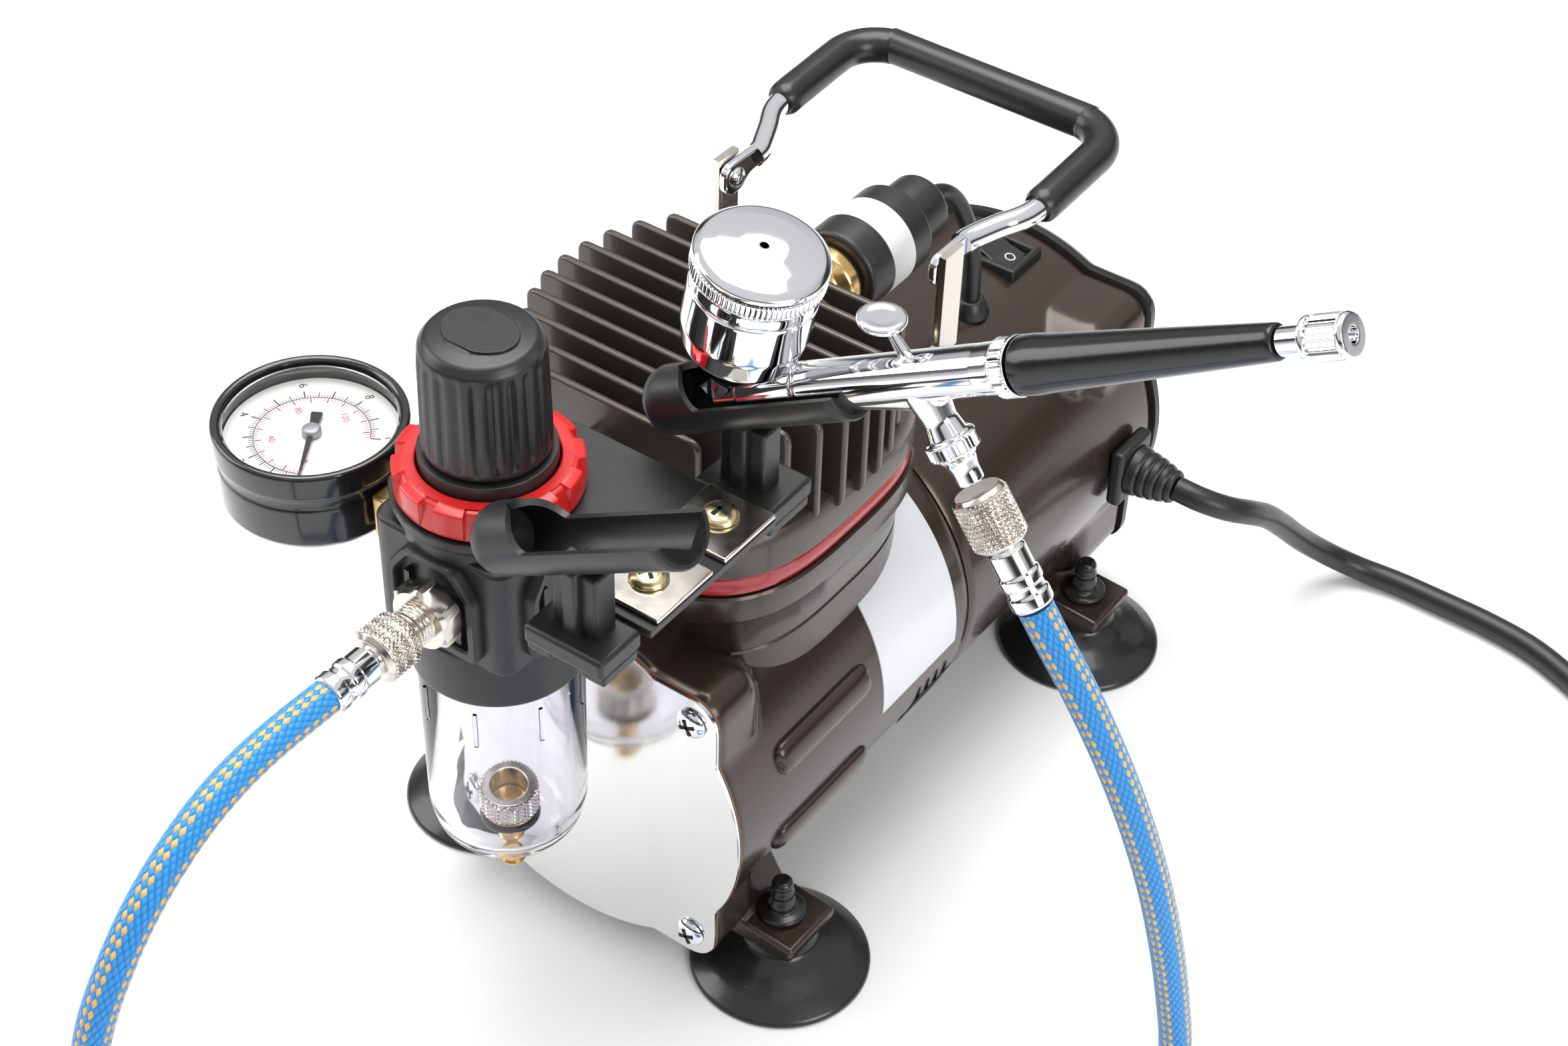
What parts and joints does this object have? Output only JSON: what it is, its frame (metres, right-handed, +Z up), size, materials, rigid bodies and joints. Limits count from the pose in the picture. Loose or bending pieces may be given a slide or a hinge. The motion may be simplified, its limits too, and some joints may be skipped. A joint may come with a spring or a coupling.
{
  "type": "airbrush compressor",
  "caption": "Oil-free piston air compressor with regulator, gauge, clear filter bowl, airbrush holders, folding handle, suction feet, braided hose and airbrush.",
  "frame": {"origin": "on the floor, under the middle of the box of the compressor with its airbrush, without its hose and power cord", "axes": "+Z up from the feet; +Y from the regulator end to the motor's rear cap, along the motor's axis; +X to the right of the pump seen from the regulator end"},
  "size_m": [0.3681, 0.5422, 0.2647],
  "materials": {
    "bronze_paint": "semi-gloss metallic paint",
    "black_cover": "satin black paint",
    "mirror_plate": "mirror-polished steel",
    "foot_rubber": "moulded rubber, slight gloss",
    "red_gasket": "smooth red gasket",
    "nickel": "nickel-plated steel",
    "chrome": "polished chrome plate",
    "grip_vinyl": "black vinyl sleeve",
    "black_plastic": "satin black moulded plastic",
    "red_plastic": "red moulded plastic",
    "brass": "yellow brass",
    "gauge_glass": "clear lens",
    "bowl_clear": "clear polycarbonate",
    "sintered_bronze": "sintered bronze",
    "motor_steel": "machined steel",
    "rod_aluminium": "cast aluminium",
    "airbrush_black": "black anodised",
    "hose_braid": "blue braided cover",
    "cord_black": "black cord sheath"
  },
  "bodies": {
    "root": {"crankcase_housing": "bronze_paint", "motor_housing": "bronze_paint", "cylinder_block": "bronze_paint", "cylinder_head": "bronze_paint", "rear_cap": "black_cover", "gauge_case": "black_cover", "front_plate": "mirror_plate", "foot_front_left": "foot_rubber", "foot_front_right": "foot_rubber", "foot_rear_left": "foot_rubber", "foot_rear_right": "foot_rubber", "head_gasket": "red_gasket", "handle_bracket_left": "nickel", "handle_bracket_right": "nickel", "clip_plate_front": "nickel", "clip_plate_rear": "nickel", "outlet_fitting": "nickel", "hose_fitting_a": "nickel", "regulator_body": "black_plastic", "regulator_bonnet": "black_plastic", "holder_plate": "black_plastic", "holder_front": "black_plastic", "holder_rear": "black_plastic", "switch_body": "black_plastic", "switch_cap": "black_plastic", "rocker_bezel": "black_plastic", "power_plug": "black_plastic", "panel_ring": "red_plastic", "switch_base": "brass", "gauge_fitting": "brass", "gauge_lens": "gauge_glass", "filter_element": "sintered_bronze", "stator": "motor_steel", "cylinder_sleeve": "motor_steel", "hose_lead_a": "hose_braid", "hose_coil": "hose_braid", "hose_lead_b": "hose_braid", "power_lead": "cord_black", "power_coil": "cord_black", "switch_cable": "cord_black", "cord_gland": "cord_black"},
    "handle": {"handle_bar": "chrome", "handle_grip": "grip_vinyl"},
    "spindle": {"adjusting_spindle": "motor_steel"},
    "knob": {"adjust_knob": "black_plastic"},
    "needle": {"gauge_needle": "black_plastic"},
    "bowl": {"filter_bowl": "bowl_clear"},
    "drain": {"drain_valve": "brass"},
    "rocker": {"power_rocker": "black_plastic"},
    "crank": {"rotor_shaft": "motor_steel", "cooling_fan": "black_plastic", "crank_disc": "motor_steel"},
    "piston": {"connecting_rod": "rod_aluminium"},
    "airbrush": {"airbrush_body": "chrome", "airbrush_handle": "airbrush_black", "hose_fitting_b": "nickel"},
    "lid": {"cup_lid": "chrome"},
    "valve": {"air_valve_plunger": "chrome"},
    "trigger": {"trigger": "chrome"},
    "needle_stop": {"needle_knob": "chrome"}
  },
  "joints": [
    {"name": "handle_fold", "type": "hinge", "parent": "root", "child": "handle", "pos_m": [-0.04684, 0.032, 0.1615], "axis": [1, 0, 0], "range_deg": [-26, 86]},
    {"name": "knob_turn", "type": "hinge", "parent": "root", "child": "spindle", "pos_m": [-0.04684, -0.0956, 0.18], "axis": [0, 0, 1], "range_deg": [-720, 720]},
    {"name": "knob_lift", "type": "slide", "parent": "spindle", "child": "knob", "axis": [0, 0, 1], "range_m": [0, 0.003]},
    {"name": "gauge_swing", "type": "hinge", "parent": "root", "child": "needle", "pos_m": [-0.09934, -0.0956, 0.1524], "axis": [0, 0, 1], "range_deg": [-270, 0]},
    {"name": "bowl_twist", "type": "hinge", "parent": "root", "child": "bowl", "pos_m": [-0.04684, -0.0956, 0.09], "axis": [0, 0, 1], "range_deg": [0, 45]},
    {"name": "drain_press", "type": "slide", "parent": "bowl", "child": "drain", "axis": [0, 0, 1], "range_m": [0, 0.0025], "stiffness_N_per_m": 200, "springref_m": -0.002},
    {"name": "rocker_tilt", "type": "hinge", "parent": "root", "child": "rocker", "pos_m": [-0.04184, 0.1073, 0.1095], "axis": [0, 1, 0], "range_deg": [-16, 0]},
    {"name": "crank_spin", "type": "hinge", "parent": "root", "child": "crank", "pos_m": [-0.04684, 0.0233, 0.061], "axis": [0, 1, 0], "continuous": true},
    {"name": "piston_stroke", "type": "slide", "parent": "root", "child": "piston", "axis": [0, 0, 1], "range_m": [0, 0.012]},
    {"name": "airbrush_dock", "type": "slide", "parent": "root", "child": "airbrush", "axis": [0.8625, 0, 0.506], "range_m": [0, 0.045]},
    {"name": "lid_lift", "type": "slide", "parent": "airbrush", "child": "lid", "axis": [0.2, 0, 0.9798], "range_m": [0, 0.025]},
    {"name": "valve_press", "type": "slide", "parent": "airbrush", "child": "valve", "axis": [0.5821, 0, -0.8131], "range_m": [0, 0.0015], "stiffness_N_per_m": 800, "springref_m": -0.003},
    {"name": "trigger_pull", "type": "hinge", "parent": "valve", "child": "trigger", "pos_m": [0.03469, -0.0612, 0.21235], "axis": [0, 1, 0], "range_deg": [0, 23], "stiffness_Nm_per_rad": 0.02, "springref_deg": -11.46},
    {"name": "needle_stop_turn", "type": "hinge", "parent": "airbrush", "child": "needle_stop", "pos_m": [0.11004, -0.0612, 0.25585], "axis": [0.8625, 0, 0.506], "range_deg": [-360, 360]}
  ]
}
